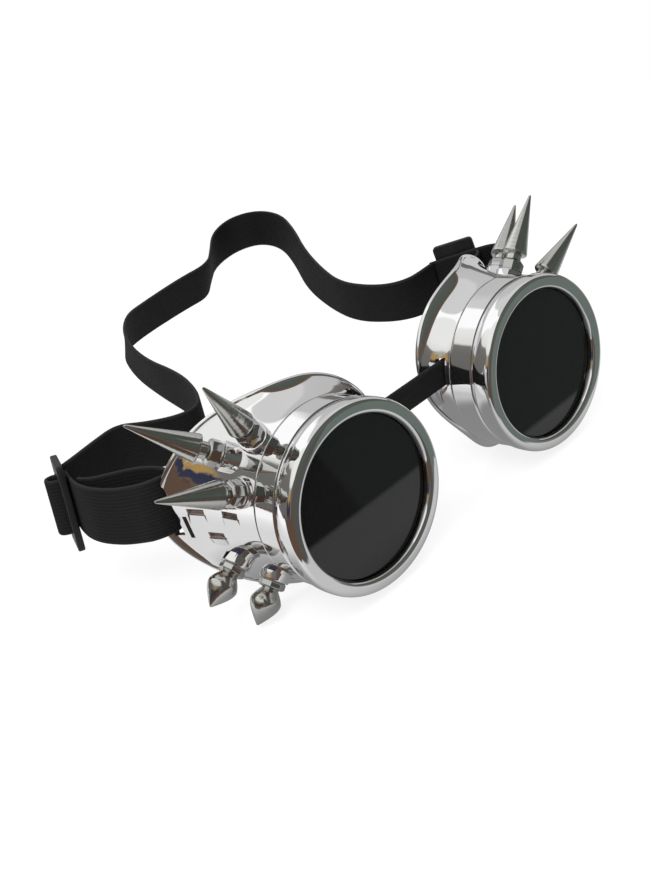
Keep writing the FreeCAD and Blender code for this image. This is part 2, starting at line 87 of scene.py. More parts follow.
# Head strap: one length of black woven elastic, 20 mm wide and 1.4 mm thick, from slider to slider.
# It is stiff enough to stand on its edge, and leans where it is twisted between the sliders.
# Its route is in plan: x and depth behind the lens plane in mm, lean in degrees and rise in mm.
lens_plane = -0.027405
axis_height = 0.03251
strap_width = 0.020
strap_thick = 0.0014
strap_height = 0.005
upward = Vector((0, 0, 1))
head_route = (
    (-83.2, 110.8, -8.5, 0.1), (-77.7, 111.5, -7, 0.1), (-67.4, 113.4, -5, 0.4), (-55.9, 113.6, -5, 1.3),
    (-49.3, 103.9, -7, 0.2), (-41.4, 93.3, -7, 0.1), (-33.6, 92.8, -6, -0.2), (-25.5, 105.6, -4, 0.5),
    (-17.0, 127.8, 0, 0.9), (-10.0, 162.5, 6, 1.2), (2.0, 199.7, -4, 1.7), (18.9, 230.8, -25, 2.7),
    (39.1, 246.7, -26, 0.1), (70.4, 253.6, -22, 0.0), (88.9, 255.6, -22, -0.6), (106.3, 276.3, -21, -0.4),
    (127.6, 301.4, -15, -0.2), (149.8, 310.6, -1, 0.4), (160.7, 298.4, 10, 0.7), (153.6, 267.9, 14, 0.7),
    (131.6, 230.7, 14, 0.1), (104.3, 190.6, 13, -0.2), (83.2, 152.2, 3, 0.1), (71.3, 124.4, -8, 0.0),
    (70.8, 103.2, -17, 0.0), (75.9, 93.0, -20, -0.2), (85.9, 91.1, -11, -0.3), (92.2, 89.8, 0, -0.2),
)


def applied(item):
    # Plain mesh of an object with its curve or modifiers worked out. The object itself is taken away.
    bpy.context.view_layer.update()
    mesh = bpy.data.meshes.new_from_object(item.evaluated_get(bpy.context.evaluated_depsgraph_get()))
    data = item.data
    bpy.data.objects.remove(item)
    bpy.data.batch_remove([data])
    return mesh


def along_spline(points):
    # Points read from a smooth spline that has the given points as its control points
    line = bpy.data.curves.new("route", "CURVE")
    line.dimensions = "3D"
    line.resolution_u = 10
    spline = line.splines.new("NURBS")
    spline.points.add(len(points) - 1)
    for knot, point in zip(spline.points, points):
        knot.co = (*point, 1.0)
    spline.order_u = 3
    spline.use_endpoint_u = True
    read = applied(in_scene("route", line))
    found = [vertex.co.copy() for vertex in read.vertices]
    bpy.data.meshes.remove(read)
    return found


def in_plan(x, depth, height):
    # Point from x and depth behind the lens plane in mm, and height above the lens axis in metres
    return Vector((x / 1000, lens_plane + depth / 1000, axis_height + height))


def to_mesh(name, built):
    # Mesh from faces that were built one by one
    mesh = bpy.data.meshes.new(name)
    built.to_mesh(mesh)
    built.free()
    return mesh


def band_mesh(name, line, ups, width, thick, columns=12):
    # Flat band with rounded edges along a line, each point with its own upward direction across the band.
    # Its UV map is in metres, across the band and along it.
    flat = (width - thick) / 2
    bend = thick / 2
    half = [(flat * (1 - 2 * i / columns), bend) for i in range(columns + 1)]
    for turn in (math.pi / 4, math.pi / 2, 3 * math.pi / 4):
        half.append((-flat - bend * math.sin(turn), bend * math.cos(turn)))
    section = half + [(-across, -out) for across, out in half]
    built = bmesh.new()
    uv = built.loops.layers.uv.new("band")
    rows = []
    gone = [0.0]
    for i, (point, up) in enumerate(zip(line, ups)):
        before = line[max(i - 1, 0)]
        after = line[min(i + 1, len(line) - 1)]
        out = (after - before).cross(up).normalized()
        rows.append([built.verts.new(point + up * a + out * o) for a, o in section])
        if i:
            gone.append(gone[-1] + (point - before).length)
    size = len(section)
    for i in range(len(rows) - 1):
        for j in range(size):
            k = (j + 1) % size
            face = built.faces.new((rows[i][j], rows[i + 1][j], rows[i + 1][k], rows[i][k]))
            across = (section[j][0], section[j][0], section[k][0], section[k][0])
            far = (gone[i], gone[i + 1], gone[i + 1], gone[i])
            for loop, a, v in zip(face.loops, across, far):
                loop[uv].uv = (a, v)
            face.smooth = True
    for row, v in ((rows[0], 0.0), (rows[-1], gone[-1])):
        face = built.faces.new(row)
        for loop, (a, o) in zip(face.loops, section):
            loop[uv].uv = (a, v)
    bmesh.ops.recalc_face_normals(built, faces=built.faces)
    return to_mesh(name, built)


def place(name, mesh, material, slot, *nodes, body=None):
    # Puts a finished mesh in the scene as the piece that stands for the given nodes
    piece = in_scene(name, mesh)
    mesh.materials.clear()
    mesh.materials.append(material)
    if body:
        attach(piece, body)
    if nodes:
        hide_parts(*nodes)
    return piece


def new_material(name, **sockets):
    # Material with one main shader, its plain values set on the shader's own sockets
    material = bpy.data.materials.new(name)
    material.use_nodes = True
    shader = material.node_tree.nodes["Principled BSDF"]
    for socket, value in sockets.items():
        shader.inputs[socket.replace("_", " ")].default_value = value
    return material, material.node_tree, shader


def add_node(tree, kind, links=(), **settings):
    # New shader node with its settings, and each input either linked or set
    node = tree.nodes.new(kind)
    for setting, value in settings.items():
        setattr(node, setting, value)
    for socket, value in links:
        if isinstance(value, bpy.types.NodeSocket):
            tree.links.new(value, node.inputs[socket])
        else:
            node.inputs[socket].default_value = value
    return node


def maths(tree, operation, *values):
    # Sum, product or the like, of numbers and other nodes' outputs
    return add_node(tree, "ShaderNodeMath", enumerate(values), operation=operation).outputs[0]


def ranged(tree, value, start, end, low=0.0, high=1.0, **settings):
    # Goes from low to high while the value goes from start to end
    links = [("Value", value), ("From Min", start), ("From Max", end), ("To Min", low), ("To Max", high)]
    return add_node(tree, "ShaderNodeMapRange", links, **settings).outputs[0]


def mixed(tree, factor, low, high):
    # Colour between two others, each of them three numbers or another node's output
    ends = [end + (1.0,) if isinstance(end, tuple) else end for end in (low, high)]
    links = [("Factor", factor), (6, ends[0]), (7, ends[1])]
    return add_node(tree, "ShaderNodeMix", links, data_type="RGBA").outputs[2]


def noise(tree, vector, scale, detail):
    # Cloudy pattern
    links = [("Vector", vector), ("Scale", scale), ("Detail", detail)]
    return add_node(tree, "ShaderNodeTexNoise", links).outputs["Fac"]


def waves(tree, vector, direction, scale, distortion, detail=2.0, detail_scale=1.0):
    # Even bands across one direction of a map, as threads and turning marks make them
    links = [("Vector", vector), ("Scale", scale), ("Distortion", distortion), ("Detail", detail),
             ("Detail Scale", detail_scale)]
    node = add_node(tree, "ShaderNodeTexWave", links, wave_type="BANDS", bands_direction=direction)
    return node.outputs["Fac"]


def set_bump(tree, shader, height, strength, distance):
    # Fine relief from a pattern
    links = [("Height", height), ("Strength", strength), ("Distance", distance)]
    tree.links.new(add_node(tree, "ShaderNodeBump", links).outputs["Normal"], shader.inputs["Normal"])


def woven_elastic():
    # Lengthwise ribs of covered rubber, crossed by a fine broken weft, and a tighter, paler selvedge
    material, tree, shader = new_material("woven_elastic", Roughness=0.78, Specular_IOR_Level=0.12)
    uv = add_node(tree, "ShaderNodeUVMap", uv_map="band").outputs["UV"]
    across = add_node(tree, "ShaderNodeSeparateXYZ", [("Vector", uv)]).outputs["X"]
    wander = noise(tree, uv, 900.0, 3.0)
    rib = waves(tree, uv, "X", 262.0, 0.35, 1.0, 700.0)
    weft = waves(tree, uv, "Y", 330.0, 1.6, 2.0, 900.0)
    height = maths(tree, "MULTIPLY_ADD", rib, 0.55, maths(tree, "MULTIPLY", rib, weft))
    lift = maths(tree, "MULTIPLY", height, wander)
    body = mixed(tree, lift, (0.0062, 0.0062, 0.0067), (0.0130, 0.0130, 0.0135))
    edge = ranged(tree, maths(tree, "ABSOLUTE", across), 0.0091, 0.0097)
    tree.links.new(mixed(tree, edge, body, (0.0170, 0.0170, 0.0175)), shader.inputs["Base Color"])
    set_bump(tree, shader, height, 0.20, 0.00022)
    return material


elastic = woven_elastic()
head_line = along_spline([in_plan(x, d, strap_height + rise / 1000) for x, d, lean, rise in head_route])
head_leans = along_spline([(math.radians(lean), 0.0, 0.0) for x, d, lean, rise in head_route])
head_ups = []
for i, lean in enumerate(head_leans):
    run = head_line[min(i + 1, len(head_line) - 1)] - head_line[max(i - 1, 0)]
    aside = Vector((-run.y, run.x, 0.0)).normalized()
    head_ups.append(upward * math.cos(lean.x) + aside * math.sin(lean.x))
head_mesh = band_mesh("head_strap", head_line, head_ups, strap_width, strap_thick)
head_strap = place("head_strap_band", head_mesh, elastic, "black_webbing", "head_strap", body="left_cup")

# Strap loops: the ends of the same elastic, each carried through the slot in a cup's temple side, round the
# rim and back to the slider. The real right loop gives when the right cup swings on the nose strap; here it
# is on no body and stays where it is.
# Their routes are in plan as the head strap's is, each with its points' rises in mm.
sides = {"left": -1, "right": 1}
loop_slope = 0.165
loop_routes = {
    "left": ((-82.76, 112.13), (-90.10, 91.82), (-92.2, 77.0), (-88.8, 67.6), (-85.8, 60.0), (-84.2, 51.0),
             (-74.2, 51.0), (-73.9, 59.5), (-76.5, 68.5), (-82.0, 77.5), (-87.4, 84.5), (-87.6, 91.0)),
    "right": ((91.70, 91.34), (103.34, 73.24), (104.4, 62.0), (96.5, 54.4), (87.0, 51.5), (74.2, 51.0),
              (73.9, 58.0), (79.0, 63.4), (88.5, 66.4), (98.0, 68.6), (101.2, 72.6)),
}
loop_rises = {
    "left": (0.0, 0.0, -0.8, -2.0, -1.6, 0.0, 0.3, 1.4, 1.4, 0.6, 0.0, 0.0),
    "right": (1.5, 0.3, 0.0, 0.0, 0.0, 0.0, 0.0, 0.0, 0.0, 0.0, 0.0),
}
# Each slider: its middle in plan, the way that the strap runs through it, its lean and its pitch in degrees
sliders = {
    "left": ((-88.9, 101.6), (0.34, 0.94), 8.5, -3.3),
    "right": ((100.0, 82.5), (-0.54, 0.84), 0.0, -4.8),
}


def slider_place(name):
    # Middle of a slider, the ways along and across its strap, and the turns of the strap and of the slider
    (x, depth), way, lean, pitch = sliders[name]
    along = Vector((*way, 0.0)).normalized()
    across = Vector((along.y, -along.x, 0.0))
    tilt = Matrix.Rotation(math.radians(lean), 3, along)
    stance = Matrix.Rotation(math.radians(pitch), 3, across) @ tilt
    return in_plan(x, depth, strap_height), along, across, tilt, stance


for name in sides:
    middle, along, _, tilt, _ = slider_place(name)
    route = []
    for (x, depth), rise in zip(loop_routes[name], loop_rises[name]):
        point = middle + tilt @ (in_plan(x, depth, strap_height) - middle)
        point.z += rise / 1000 - (point - middle).dot(along) * loop_slope
        route.append(point)
    line = along_spline(route)
    mesh = band_mesh(name + "_strap_loop", line, [tilt @ upward] * len(line), strap_width, strap_thick)
    loop = place(name + "_strap_loop_band", mesh, elastic, "black_webbing", name + "_strap_loop",
                 body="left_cup" if name == "left" else None)
    if name == "right":
        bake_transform(loop)

# Strap turns: where the elastic comes out through one window of a slider, over its middle bar and back
# through the other window. Their route is in mm, along the strap and out from the slider's middle.
turn_route = ((-3.2, -0.8), (-3.5, 2.8), (-1.7, 4.9), (1.7, 4.9), (3.5, 2.8), (3.2, -0.8))
for name, side in sides.items():
    middle, along, across, _, stance = slider_place(name)
    out = across * side
    line = along_spline([middle + stance @ (along * a + out * o) / 1000 for a, o in turn_route])
    mesh = band_mesh(name + "_turn", line, [stance @ upward] * len(line), strap_width, strap_thick)
    place(name + "_strap_turn_band", mesh, elastic, "black_webbing", name + "_strap_turn",
          body=name + "_adjuster")

# Strap sliders: three-bar adjusters moulded in black plastic, with rounded edges and a fine grain.
# The strap's friction holds them where they are set.
slider_height = 0.031
slider_length = 0.017
slider_thick = 0.0024
slider_bar = 0.0026
slider_window = 0.0192
window_drop = 0.0009
slider_corner = 0.0016
slider_edge = 0.0005


def in_object(tree, **mapping):
    # Place on the piece in its own coordinates, scaled or shifted where that is asked for
    spot = add_node(tree, "ShaderNodeTexCoord").outputs["Object"]
    if not mapping:
        return spot
    return add_node(tree, "ShaderNodeMapping", [("Vector", spot), *mapping.items()]).outputs[0]


def graded(tree, shader, pattern, dark, pale, rough=None):
    # Colour that goes from dark to pale with a pattern, and roughness too where its two ends are given
    tree.links.new(mixed(tree, pattern, dark, pale), shader.inputs["Base Color"])
    if rough:
        tree.links.new(ranged(tree, pattern, 0.0, 1.0, *rough), shader.inputs["Roughness"])


def moulded_plastic():
    # Satin black with a fine grain, a little paler where handling has polished it
    material, tree, shader = new_material("moulded_plastic", Specular_IOR_Level=0.28)
    wear = noise(tree, in_object(tree), 140.0, 3.0)
    graded(tree, shader, wear, (0.006, 0.006, 0.006), (0.013, 0.013, 0.013), (0.36, 0.52))
    set_bump(tree, shader, noise(tree, in_object(tree), 2600.0, 4.0), 0.2, 0.0001)
    return material


def finish_edges(name, built, width, segments, angle=40.0):
    # Rounds a mesh's sharp edges and smooths what is left below the angle
    item = in_scene(name, to_mesh(name, built))
    bevel = item.modifiers.new("edges", "BEVEL")
    bevel.width = width
    bevel.segments = segments
    bevel.limit_method = "ANGLE"
    bevel.angle_limit = math.radians(angle)
    mesh = applied(item)
    for face in mesh.polygons:
        face.use_smooth = True
    mesh.set_sharp_from_angle(angle=math.radians(angle))
    return mesh


plastic = moulded_plastic()
columns = (-slider_length / 2, -slider_length / 2 + slider_bar, -slider_bar / 2, slider_bar / 2,
           slider_length / 2 - slider_bar, slider_length / 2)
levels = (-slider_height / 2, -slider_window / 2, slider_window / 2 - window_drop, slider_height / 2)
for name in sides:
    middle, along, across, _, stance = slider_place(name)
    built = bmesh.new()
    knots = [[built.verts.new((x, -slider_thick / 2, z)) for z in levels] for x in columns]
    for i in range(5):
        for j in range(3):
            if j == 1 and i in (1, 3):
                continue
            built.faces.new((knots[i][j], knots[i + 1][j], knots[i + 1][j + 1], knots[i][j + 1]))
    raised = bmesh.ops.extrude_face_region(built, geom=built.faces[:])["geom"]
    for vertex in [item for item in raised if isinstance(item, bmesh.types.BMVert)]:
        vertex.co.y = slider_thick / 2
    bmesh.ops.recalc_face_normals(built, faces=built.faces)
    corners = []
    for edge in built.edges:
        one, two = [end.co for end in edge.verts]
        at_corner = abs(one.x) > slider_length / 2 - 1e-6 and abs(one.z) > slider_height / 2 - 1e-6
        if at_corner and abs(one.y - two.y) > slider_thick / 2:
            corners.append(edge)
    bmesh.ops.bevel(built, geom=corners, offset=slider_corner, segments=5, affect="EDGES", profile=0.5)
    turn = (stance @ Matrix((along, across, upward)).transposed()).to_4x4()
    turn.translation = middle
    mesh = finish_edges(name + "_slider", built, slider_edge, 3)
    mesh.transform(turn)
    place(name + "_slider_frame", mesh, plastic, "black_plastic", name + "_slider", body=name + "_adjuster")

# Eye cups: thin shells of chromed plastic that flare back to a rolled rim shaped to the face, with a neck in
# front for the lens ring. The temple side has a strap slot, a spare slit and hooded vents, and the nose side
# has a slot for the nose strap. The rim's radius and depth are in mm, every 30 degrees from the top.
lens_spacing = 0.0874
shell_front = 0.0156
shell_radius = 0.0289
shell_round = 0.0004
wall = 0.0019
flange = 0.0016
bead = 0.0011
roll = 0.0010
neck_bore = 0.0236
neck_radius = 0.02695
neck_front = 0.00485
neck_step = 0.0002
rim_radius = (34.6, 36.0, 39.0, 38.0, 35.5, 33.0, 32.5, 31.2, 30.2, 32.6, 34.6, 34.6)
rim_depth = (29.0, 41.0, 49.0, 56.5, 43.5, 32.0, 27.0, 22.5, 20.0, 24.5, 26.5, 27.0)
flare = 1.8
flare_more = 0.4
edge_rise = 0.0007
edge_reach = 0.003
cup_steps = 240
slot_reach = 0.014
temple_reach = lens_spacing / 2 + 0.034
nose_depth = 0.0188
nose_height = 0.0086
# Each vent: its angle from the top and its depth behind the lens plane
vents = ((84.0, 0.0416), (83.5, 0.0274), (98.8, 0.0364))
slope_step = 0.001
vent_length = 0.0082
vent_drop = 0.0048
vent_top = 0.0014
hood_proud = 0.0005
hood_thick = 0.0005
hood_sink = 0.0002
mouth_rise = 0.00095
mouth_size = (0.0068, 0.0021, 0.0026)


def smooth_round(stations):
    # Weights of a smooth closed curve through stations 30 degrees apart
    weights = list(stations)
    for sweep in range(40):
        for i in range(12):
            weights[i] = (6 * stations[i] - weights[i - 1] - weights[(i + 1) % 12]) / 4
    return weights


radius_weights = smooth_round(rim_radius)
depth_weights = smooth_round(rim_depth)


def rim_at(angle, weights):
    # Value in metres at an angle in degrees from the top towards the temple
    step = (angle % 360.0) / 30.0
    low = int(step)
    t = step - low
    near = [weights[(low + k) % 12] for k in (-1, 0, 1, 2)]
    share = ((1 - t) ** 3, 3 * t ** 3 - 6 * t ** 2 + 4, -3 * t ** 3 + 3 * t ** 2 + 3 * t + 1, t ** 3)
    return sum(a * b for a, b in zip(near, share)) / 6000.0


def wall_radius(angle, depth):
    # Outside of the wall, which flares back and turns out a little more just in front of the rolled rim
    end = rim_at(angle, depth_weights) - 2 * bead
    run = max(0.0, depth - shell_front) / (end - shell_front)
    edge = max(0.0, 1.0 - (end - depth) / edge_reach)
    curl = flare + flare_more * math.sin(math.radians(angle))
    spread = rim_at(angle, radius_weights) - roll - edge_rise - shell_radius
    return shell_radius + run ** curl * spread + edge ** 2 * edge_rise


def on_cup(side, angle, radius, depth):
    # Point of a cup from its angle about the lens axis, its radius and its depth behind the lens plane
    turn = math.radians(angle)
    x = lens_spacing / 2 + radius * math.sin(turn)
    return Vector((side * x, lens_plane + depth, axis_height + radius * math.cos(turn)))


def cup_section(angle):
    # Closed section at one angle: up the outside, over the rim, down the inside, and round the neck
    top = rim_at(angle, radius_weights)
    back = rim_at(angle, depth_weights)
    points = []
    for i in range(31):
        depth = shell_front + (back - 2 * bead - shell_front) * (1 - (1 - i / 30) ** 1.6)
        points.append((wall_radius(angle, depth), depth))
    for i in range(-7, 17):
        turn = math.pi * i / 16
        points.append((top - bead + bead * math.cos(turn), back - bead + bead * math.sin(turn)))
    for i in range(24, -1, -1):
        depth = shell_front + flange + (back - 2 * bead - shell_front - flange) * i / 24
        points.append((wall_radius(angle, depth) - wall, depth))
    points += [(neck_bore, shell_front + flange), (neck_bore, neck_front), (neck_radius, neck_front)]
    points += [(neck_radius, shell_front - neck_step), (shell_radius - shell_round, shell_front - neck_step)]
    return points


def cutter(centre, along, up, out, size, finish):
    # Box for cutting, from its middle, three directions and its size along them. The cut takes its finish.
    built = bmesh.new()
    turn = Matrix((along * size[0], up * size[1], out * size[2])).transposed().to_4x4()
    turn.translation = centre
    bmesh.ops.create_cube(built, size=1.0, matrix=turn)
    bmesh.ops.recalc_face_normals(built, faces=built.faces)
    item = in_scene("cutter", to_mesh("cutter", built))
    item.data.materials.append(finish)
    return item


def add_hood(built, top, down, along, out, bare_slot):
    # Hood of a vent, pressed out of the wall: a slanting tongue, open at its upper end and bare underneath
    sheets = []
    for inset in (0.0, hood_thick):
        grid = []
        for i in range(13):
            u = math.sin(math.pi / 2 * (i / 6.0 - 1.0))
            row = []
            for j in range(9):
                t = j / 8.0
                rise = (hood_proud + hood_sink) * (1.0 - u ** 8) * (1.0 - t) - hood_sink - inset
                spot = top + along * (u * vent_length / 2) + down * (t * vent_drop) + out * rise
                row.append(built.verts.new(spot))
            grid.append(row)
        sheets.append(grid)
    made = []
    for grid, finish in zip(sheets, (0, bare_slot)):
        for i in range(12):
            for j in range(8):
                corners = (grid[i][j], grid[i + 1][j], grid[i + 1][j + 1], grid[i][j + 1])
                made.append(built.faces.new(corners))
                made[-1].material_index = finish
    border = [(i, 0) for i in range(12)] + [(12, j) for j in range(8)]
    border += [(12 - i, 8 - j) for i, j in border]
    for n, (i, j) in enumerate(border):
        k, m = border[n - 1]
        corners = (sheets[0][k][m], sheets[0][i][j], sheets[1][i][j], sheets[1][k][m])
        made.append(built.faces.new(corners))
    bmesh.ops.recalc_face_normals(built, faces=made)


def mirror_chrome(name, tint, rough):
    # Bright chrome with faint smears and hairline scratches that only show in its gloss
    material, tree, shader = new_material(name, Metallic=1.0)
    smear = noise(tree, in_object(tree), 95.0, 5.0)
    hair = noise(tree, in_object(tree, Scale=(2200.0, 160.0, 2200.0)), 1.0, 2.0)
    graded(tree, shader, smear, tuple(0.93 * part for part in tint), tint)
    gloss = ranged(tree, maths(tree, "MULTIPLY", smear, hair), 0.1, 0.5, rough, rough + 0.05)
    tree.links.new(gloss, shader.inputs["Roughness"])
    set_bump(tree, shader, smear, 0.06, 0.0004)
    return material


def brown_plastic(name, dark, pale):
    # Dull brown moulding compound, faintly mottled, where the chrome stops. The much darker one is painted
    # shade.
    material, tree, shader = new_material(name, Specular_IOR_Level=0.3)
    graded(tree, shader, noise(tree, in_object(tree), 380.0, 4.0), dark, pale, (0.45, 0.6))
    return material


cup_chrome = mirror_chrome("cup_chrome", (0.86, 0.86, 0.87), 0.035)
bare_plastic = brown_plastic("bare_plastic", (0.158, 0.118, 0.099), (0.224, 0.174, 0.149))
# Near-black brown on the walls of the strap slot and the slit: painted shade
painted_slot_shade = brown_plastic("painted_slot_shade", (0.018, 0.014, 0.012), (0.035, 0.027, 0.024))
x_way, y_way = Vector((1, 0, 0)), Vector((0, 1, 0))
# Strap slot, slit and nose slot: x out from the middle, depth, height over the axis, width, length, finish
slots = (
    (temple_reach, 0.051, 0.008, 0.0034, 0.022, painted_slot_shade),
    (temple_reach, 0.0467, 0.0, 0.0016, 0.008, painted_slot_shade),
    (0.0155, nose_depth, nose_height, 0.0032, 0.0098, cup_chrome),
)
for name, side in sides.items():
    built = bmesh.new()
    rings = []
    for i in range(cup_steps):
        angle = 360.0 * i / cup_steps
        rings.append([built.verts.new(on_cup(side, angle, r, d)) for r, d in cup_section(angle)])
    count = len(rings[0])
    for i in range(cup_steps):
        one, two = rings[i], rings[(i + 1) % cup_steps]
        for j in range(count):
            k = (j + 1) % count
            built.faces.new((one[j], two[j], two[k], one[k]))
    bmesh.ops.recalc_face_normals(built, faces=built.faces)
    cup = in_scene(name + "_cup", to_mesh(name + "_cup", built))
    cup.data.materials.append(cup_chrome)
    cutters = []
    for x, depth, height, width, length, finish in slots:
        middle = Vector((side * x, lens_plane + depth, axis_height + height))
        cutters.append(cutter(middle, x_way, y_way, upward, (slot_reach, width, length), finish))
    hoods = []
    for angle, depth in vents:
        turn = math.radians(angle)
        out = Vector((side * math.sin(turn), 0.0, math.cos(turn)))
        down = Vector((side * math.cos(turn), 0.0, -math.sin(turn)))
        middle = on_cup(side, angle, wall_radius(angle, depth), depth)
        rise = wall_radius(angle, depth + slope_step) - wall_radius(angle, depth - slope_step)
        along = (y_way + out * rise / (2 * slope_step)).normalized()
        out = down.cross(along).normalized() * side
        mouth = middle - down * (vent_top + mouth_rise)
        cutters.append(cutter(mouth, along, down, out, mouth_size, bare_plastic))
        hoods.append((middle - down * vent_top, down, along, out))
    for tool in cutters:
        cut = cup.modifiers.new("cut", "BOOLEAN")
        cut.operation = "DIFFERENCE"
        cut.solver = "EXACT"
        cut.material_mode = "TRANSFER"
        cut.object = tool
    cut_mesh = applied(cup)
    for tool in cutters:
        bpy.data.objects.remove(tool)
    bare_slot, slot_shade_index = [cut_mesh.materials.find(finish.name) for finish in (bare_plastic, painted_slot_shade)]
    built = bmesh.new()
    built.from_mesh(cut_mesh)
    for hood in hoods:
        add_hood(built, *hood, bare_slot)
    bmesh.ops.remove_doubles(built, verts=built.verts, dist=1e-6)
    built.to_mesh(cut_mesh)
    built.free()
    for face in cut_mesh.polygons:
        face.use_smooth = True
    cut_mesh.set_sharp_from_angle(angle=math.radians(32))
    # The inside of the cup, the walls of the vents' mouths and the undersides of their hoods are left bare,
    # and the edges of the strap slot and the slit get a near-black brown, painted shade deep in those narrow
    # cuts
    finishes = []
    for face in cut_mesh.polygons:
        spread = Vector((face.center.x - side * lens_spacing / 2, 0.0, face.center.z - axis_height))
        inward = face.normal.dot(spread) < 0.0 and face.center.y > lens_plane + shell_front + flange
        finishes.append(2 if face.material_index == slot_shade_index else 1 if face.material_index or inward else 0)
    place(name + "_cup_shell", cut_mesh, cup_chrome, "chromed_cup", name + "_eye_cup", body=name + "_cup")
    cut_mesh.materials.append(bare_plastic)
    cut_mesh.materials.append(painted_slot_shade)
    cut_mesh.polygons.foreach_set("material_index", finishes)

# Spike seats: round bosses moulded in one with the cup, one under each spike, that stand 2 mm out of the wall
# and reach inside it for the screw. They turn the spikes to the angles at which they lean.
seat_proud = 0.002
seat_radius = 0.0048
seat_bore = 0.00165
seat_root = 0.0056
seat_round = 0.0004
seat_outline = (
    (seat_bore, -seat_root), (seat_radius - seat_round / 2, -seat_root),
    (seat_radius, seat_round / 2 - seat_root), (seat_radius, -seat_round),
    (seat_radius - 0.00015, -0.0001), (seat_radius - seat_round, 0.0),
    (seat_bore, 0.0), (seat_bore, -seat_root),
)
# Each spike: angle from the top, depth behind the lens plane, lean to the back, and 1 for a short one
outer_spikes = ((62.8, 0.0204, -5.5, 0), (115.0, 0.035, -3.0, 1), (131.0, 0.026, 0.0, 1))
spikes = {
    "left": ((30.9, 0.021, -18.0, 0), (45.5, 0.0297, 21.0, 0)) + outer_spikes,
    "right": ((46.0, 0.026, 2.5, 0), (55.4, 0.0365, 12.0, 0)) + outer_spikes,
}


def spike_axis(side, angle, depth, lean):
    # Seat of a spike on the cup's wall, and the way that it points
    seat = on_cup(side, angle, wall_radius(angle, depth) + seat_proud, depth)
    turn, tip = math.radians(angle), math.radians(lean)
    way = Vector((side * math.sin(turn) * math.cos(tip), math.sin(tip), math.cos(turn) * math.cos(tip)))
    return seat, way


def turned(built, foot, way, outline, segments):
    # Turns an outline of (radius, height) about an axis, with its UV map round it and along it
    uv = built.loops.layers.uv.verify()
    pose = way.to_track_quat("Z", "X").to_matrix().to_4x4()
    pose.translation = foot
    turns = [2 * math.pi * i / segments for i in range(segments)]
    rows = []
    lengths = [0.0]
    for n, (r, h) in enumerate(outline):
        if n:
            lengths.append(lengths[-1] + math.dist(outline[n - 1], outline[n]))
        ring = [Vector((r * math.cos(a), r * math.sin(a), h)) for a in (turns if r else turns[:1])]
        rows.append([built.verts.new(pose @ spot) for spot in ring])
    made = []
    for n in range(len(rows) - 1):
        low, high = rows[n], rows[n + 1]
        for i in range(segments):
            k = (i + 1) % segments
            if len(low) == 1:
                ring = [low[0], high[k], high[i]]
                marks = ((i + 0.5, n), (i + 1, n + 1), (i, n + 1))
            elif len(high) == 1:
                ring = [low[i], low[k], high[0]]
                marks = ((i, n), (i + 1, n), (i + 0.5, n + 1))
            else:
                ring = [low[i], low[k], high[k], high[i]]
                marks = ((i, n), (i + 1, n), (i + 1, n + 1), (i, n + 1))
            face = built.faces.new(ring)
            face.smooth = True
            for loop, (a, b) in zip(face.loops, marks):
                loop[uv].uv = (a / segments, lengths[b])
            made.append(face)
    bmesh.ops.recalc_face_normals(built, faces=made)


def round_mesh(name, built, angle):
    # Finished mesh of turned pieces, with edges sharp above the angle
    mesh = to_mesh(name, built)
    mesh.set_sharp_from_angle(angle=math.radians(angle))
    return mesh


for name, side in sides.items():
    built = bmesh.new()
    for angle, depth, lean, short in spikes[name]:
        turned(built, *spike_axis(side, angle, depth, lean), seat_outline, 48)
    mesh = round_mesh(name + "_seats", built, 40)
    place(name + "_spike_seats", mesh, cup_chrome, "chromed_cup", body=name + "_cup")

# Spikes: turned metal cones, chromed, on a narrow neck. The long ones have fine turning marks near the foot,
# the short ones have a rounded shoulder. A screw from inside the cup holds each one.
long_outline = (
    (0.00148, 0.0046), (0.0027, 0.0046), (0.0027, 0.0068), (0.0030, 0.0070), (0.0039, 0.0070),
    (0.00425, 0.00715), (0.0044, 0.0075), (0.00435, 0.0080), (0.0024, 0.0187), (0.00050, 0.0292),
    (0.00036, 0.02955), (0.00020, 0.02975), (0.0, 0.02985),
)
short_outline = (
    (0.00148, 0.0026), (0.0027, 0.0026), (0.00275, 0.0030), (0.0032, 0.0036), (0.00355, 0.0041),
    (0.0039, 0.0046), (0.00425, 0.0052), (0.00455, 0.0058), (0.0048, 0.0064), (0.0049, 0.0070),
    (0.00478, 0.0078), (0.0045, 0.0086), (0.0041, 0.0094), (0.00355, 0.0103), (0.0029, 0.0112),
    (0.0022, 0.0121), (0.0014, 0.0131), (0.00045, 0.01418), (0.00025, 0.01435), (0.0, 0.0144),
)


def turned_chrome():
    # Polished chrome over fine rings left by the lathe, deepest near the foot of the spike
    material, tree, shader = new_material("spike_chrome", Metallic=1.0)
    uv = add_node(tree, "ShaderNodeUVMap").outputs["UV"]
    along = add_node(tree, "ShaderNodeSeparateXYZ", [("Vector", uv)]).outputs["Y"]
    foot = ranged(tree, along, 0.006, 0.024, 1.0, 0.15)
    marks = maths(tree, "MULTIPLY", waves(tree, uv, "Y", 185.0, 0.1), foot)
    cloud = noise(tree, in_object(tree), 260.0, 4.0)
    graded(tree, shader, cloud, (0.52, 0.52, 0.50), (0.64, 0.64, 0.62), (0.13, 0.22))
    set_bump(tree, shader, marks, 0.12, 0.00010)
    return material


spike_chrome = turned_chrome()
for name, side in sides.items():
    for number, (angle, depth, lean, short) in enumerate(spikes[name], 1):
        built = bmesh.new()
        turned(built, *spike_axis(side, angle, depth, lean), short_outline if short else long_outline, 72)
        node = f"{name}_short_spike_{number - 3}" if short else f"{name}_long_spike_{number}"
        mesh = round_mesh(node, built, 50)
        place(node + "_cone", mesh, spike_chrome, "chromed_spike", node, body=name + "_cup")

